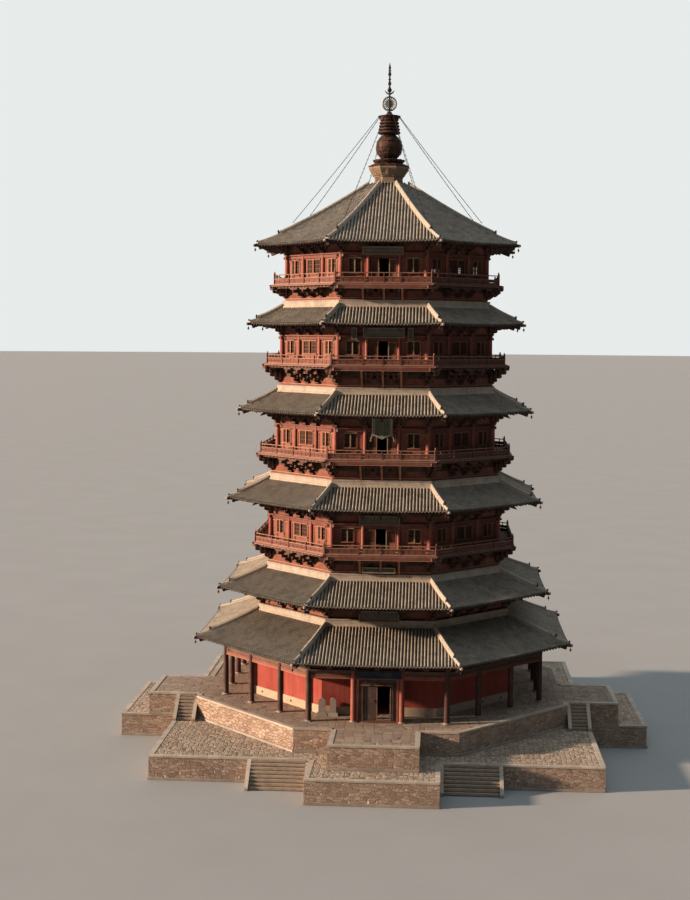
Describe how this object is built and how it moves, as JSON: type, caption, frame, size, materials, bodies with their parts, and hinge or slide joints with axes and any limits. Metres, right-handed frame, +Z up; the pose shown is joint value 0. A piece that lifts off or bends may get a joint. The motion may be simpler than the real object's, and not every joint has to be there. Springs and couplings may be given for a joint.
{
  "type": "timber pagoda scale model",
  "caption": "Octagonal timber pagoda with stacked eaves, balconies and an iron finial on a two-tier masonry base, as a half-size scale model.",
  "frame": {"origin": "centre of the tower's octagon, on the ground under the masonry base", "axes": "+Z up, -Y towards the entrance front, +X to the right of someone facing the entrance"},
  "size_m": [26, 23.2, 33.655],
  "materials": {
    "paving": "worn grey-brown stone paving and rubble walls with pale kerbs",
    "brick": "pinkish tan brick",
    "red_wall": "red limewash over a pale brick footing",
    "timber": "weathered red-painted timber",
    "brackets": "dark weathered bracket timber",
    "tiles": "grey-brown clay tiles with pale ridges",
    "door": "dark worn door boards",
    "iron": "dark rusted iron"
  },
  "bodies": {
    "tower": {"lower_platform": "paving", "upper_platform": "paving", "lower_stair_west": "brick", "lower_stair_east": "brick", "upper_stair_west": "brick", "upper_stair_east": "brick", "ground_wall_south_left": "red_wall", "ground_wall_south_right": "red_wall", "ground_wall_south_head": "red_wall", "ground_wall_east": "red_wall", "ground_wall_north": "red_wall", "ground_wall_west": "red_wall", "verandah_columns": "timber", "verandah_roof": "tiles", "door_frame": "timber", "eave_brackets_1": "brackets", "roof_1": "tiles", "balcony_2": "brackets", "railing_2": "timber", "storey_wall_2": "timber", "eave_brackets_2": "brackets", "roof_2": "tiles", "balcony_3": "brackets", "railing_3": "timber", "storey_wall_3": "timber", "eave_brackets_3": "brackets", "roof_3": "tiles", "balcony_4": "brackets", "railing_4": "timber", "storey_wall_4": "timber", "eave_brackets_4": "brackets", "roof_4": "tiles", "balcony_5": "brackets", "railing_5": "timber", "storey_wall_5": "timber", "eave_brackets_5": "brackets", "roof_5": "tiles", "brick_seat": "brick", "finial_lotus": "iron", "finial_bowl": "iron", "finial_rings": "iron", "finial_crest": "iron", "finial_stays": "iron"},
    "left_leaf": {"door_leaf_left": "door"},
    "right_leaf": {"door_leaf_right": "door"}
  },
  "joints": [
    {"name": "left_door_hinge", "type": "hinge", "parent": "tower", "child": "left_leaf", "pos_m": [-0.62, -7.74, 2.28], "axis": [0, 0, 1], "range_deg": [0, 90]},
    {"name": "right_door_hinge", "type": "hinge", "parent": "tower", "child": "right_leaf", "pos_m": [0.62, -7.74, 2.28], "axis": [0, 0, 1], "range_deg": [-5, 85]}
  ]
}
